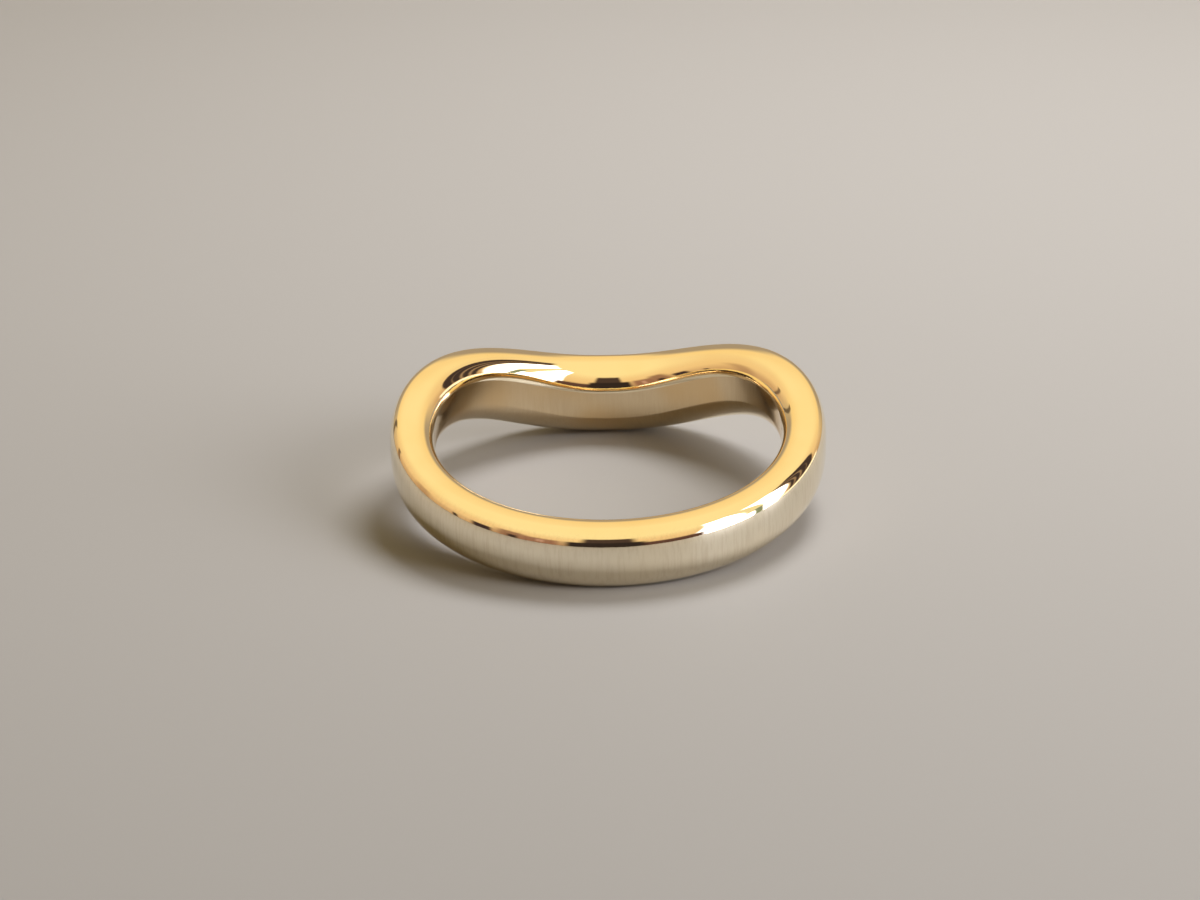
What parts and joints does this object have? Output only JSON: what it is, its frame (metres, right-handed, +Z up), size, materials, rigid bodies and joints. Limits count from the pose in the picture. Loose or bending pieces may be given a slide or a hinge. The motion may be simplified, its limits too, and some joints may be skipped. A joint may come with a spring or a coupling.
{
  "type": "gold band ring",
  "caption": "Plain curved gold band ring with a rounded oval section, a central dip between two raised shoulders and a cylindrical finger hole.",
  "frame": {"origin": "on the surface that the ring lies on, under the middle of its outline", "axes": "+Z up out of the surface, +Y from the plain back of the band towards its dipped front, +X to the right seen from the back"},
  "size_m": [0.0212, 0.0224, 0.0057],
  "materials": {
    "polished_gold": "mirror polished yellow gold"
  },
  "bodies": {
    "root": {"band": "polished_gold"}
  },
  "joints": []
}
